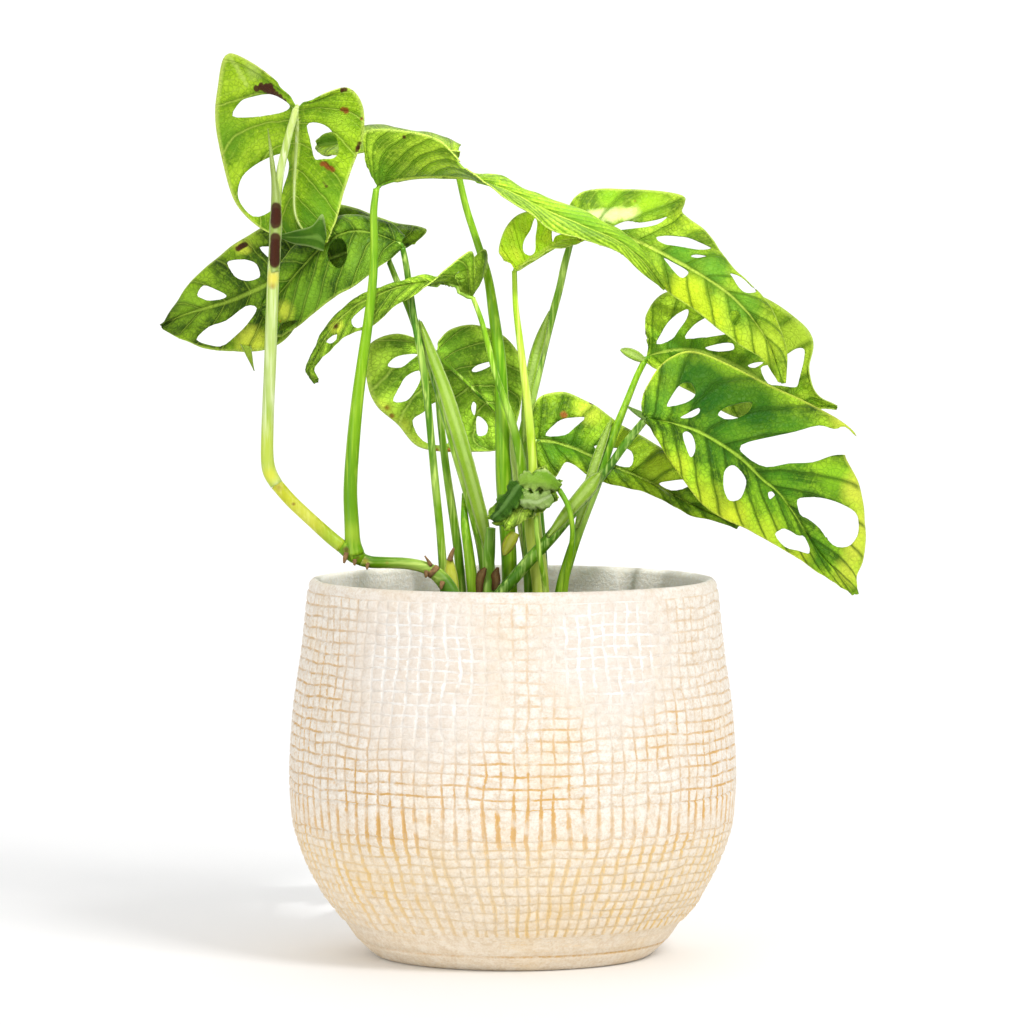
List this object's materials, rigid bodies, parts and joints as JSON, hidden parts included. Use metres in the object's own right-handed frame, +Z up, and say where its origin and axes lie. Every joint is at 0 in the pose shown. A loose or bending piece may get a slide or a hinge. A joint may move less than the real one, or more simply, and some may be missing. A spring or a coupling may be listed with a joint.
{
  "type": "potted swiss cheese vine",
  "caption": "Young climbing house plant with arching stalks and large pierced leaves, standing in a round net-patterned stoneware pot.",
  "frame": {"origin": "centre of the pot's foot, on the surface it stands on", "axes": "+Z up through the pot's mouth, -Y towards the front that the picture shows, +X to that view's right"},
  "size_m": [0.2443, 0.1546, 0.3123],
  "materials": {
    "pot_stoneware": "matte cream glaze over an impressed net pattern",
    "potting_mix": "dark, crumbly and dull",
    "stalk_green": "smooth, softly shiny",
    "stalk_yellow": "smooth, softly shiny",
    "stalk_dark": "smooth, softly shiny",
    "leaf_green": "satin, veined",
    "leaf_pale": "satin, veined",
    "leaf_yellow": "satin, veined"
  },
  "bodies": {
    "root": {"pot": "pot_stoneware", "potting_mix": "potting_mix", "stem_runner": "stalk_green", "stem_joint": "stalk_yellow", "stem_end": "stalk_yellow", "stem_stub": "stalk_yellow", "sheath_stub": "stalk_green", "young_shoot": "stalk_dark", "petiole_top_left": "stalk_yellow", "petiole_long_arch": "stalk_green", "petiole_left_under": "stalk_green", "petiole_left_spotted": "stalk_green", "petiole_inner_left": "stalk_green", "petiole_edge_on": "stalk_green", "petiole_small_curled": "stalk_green", "petiole_young_yellow": "stalk_yellow", "petiole_upper_right": "stalk_dark", "petiole_low_right": "stalk_green", "petiole_right_pale": "stalk_green", "petiole_right_large": "stalk_dark", "petiole_crumpled": "stalk_green", "petiole_crumpled_side": "stalk_green", "leaf_top_left": "leaf_pale", "leaf_long_arch": "leaf_pale", "leaf_left_spotted": "leaf_green", "leaf_left_under": "leaf_pale", "leaf_edge_on": "leaf_green", "leaf_young_yellow": "leaf_yellow", "leaf_upper_right": "leaf_green", "leaf_right_pale": "leaf_yellow", "leaf_right_large": "leaf_green", "leaf_low_right": "leaf_yellow", "leaf_small_curled": "leaf_green", "leaf_inner_left": "leaf_green", "leaf_crumpled": "leaf_green"}
  },
  "joints": []
}
